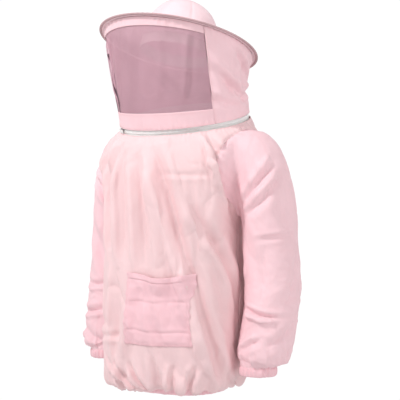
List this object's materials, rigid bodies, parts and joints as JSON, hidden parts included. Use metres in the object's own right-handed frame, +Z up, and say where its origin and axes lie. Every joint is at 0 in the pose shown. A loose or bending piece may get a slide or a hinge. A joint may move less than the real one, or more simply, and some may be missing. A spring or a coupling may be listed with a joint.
{
  "type": "beekeeping suit",
  "caption": "Light cotton beekeeping jacket with elasticated cuffs and hem, a patch pocket and a zip-on hood: round brimmed hat, mesh veil window and cloth sides",
  "frame": {"origin": "centre of the neck zip ring, where the collar of the jacket meets the hood", "axes": "+X is the wearer's left, -Y is the wearer's front, +Z is up"},
  "size_m": [0.606, 0.3823, 0.9608],
  "materials": {
    "jacket_cloth": "light pink plain-weave polycotton, matt, crumpled",
    "hood_cloth": "light pink plain-weave polycotton, matt",
    "hat_cloth": "pale pink stiffened cotton, quilted by rows of stitching on the brim",
    "veil_net": "mauve hexagonal polyester net, half see-through",
    "brim_piping": "dusky pink bias binding",
    "elastic": "white ribbed woven elastic",
    "zip_tape": "white woven polyester tape",
    "zip_teeth": "white nylon coil",
    "slider_metal": "plated zinc",
    "wire": "spring steel"
  },
  "bodies": {
    "jacket": {"bodice_front": "jacket_cloth", "bodice_back": "jacket_cloth", "hem_casing": "jacket_cloth", "hem_elastic": "elastic", "pocket": "jacket_cloth", "zip_teeth_lower": "zip_teeth", "zip_tape_lower": "zip_tape", "zip_pin_box": "zip_teeth"},
    "arm_left": {"sleeve_left": "jacket_cloth", "cuff_casing_left": "jacket_cloth", "cuff_elastic_left": "elastic"},
    "arm_right": {"sleeve_right": "jacket_cloth", "cuff_casing_right": "jacket_cloth", "cuff_elastic_right": "elastic"},
    "hood": {"zip_teeth_upper": "zip_teeth", "zip_tape_upper": "zip_tape", "hood_front_band": "hood_cloth", "hood_brow_band": "hood_cloth", "hood_back": "hood_cloth", "veil_mesh": "veil_net", "hat_brim": "hat_cloth", "hat_crown": "hat_cloth", "brim_binding": "brim_piping", "brim_wire": "wire", "sweatband": "elastic"},
    "slider": {"zip_slider": "slider_metal"},
    "pull": {"zip_pull": "slider_metal"}
  },
  "joints": [
    {"name": "hood_tip", "type": "hinge", "parent": "jacket", "child": "hood", "pos_m": [0, 0.1747, 0.034], "axis": [-1, 0, 0], "range_deg": [0, 100]},
    {"name": "sleeve_raise_left", "type": "hinge", "parent": "jacket", "child": "arm_left", "pos_m": [0.2, 0.02, -0.09], "axis": [0, -1, 0], "range_deg": [0, 80]},
    {"name": "sleeve_raise_right", "type": "hinge", "parent": "jacket", "child": "arm_right", "pos_m": [-0.2, 0.02, -0.09], "axis": [0, 1, 0], "range_deg": [0, 80]},
    {"name": "zip_travel", "type": "hinge", "parent": "jacket", "child": "slider", "pos_m": [0, 0, 0], "axis": [0, -0.1908, 0.9816], "range_deg": [0, 340]},
    {"name": "pull_swing", "type": "hinge", "parent": "slider", "child": "pull", "pos_m": [-0.10616, -0.12412, -0.02413], "axis": [0, -0.1908, 0.9816], "range_deg": [-160, 0]}
  ]
}
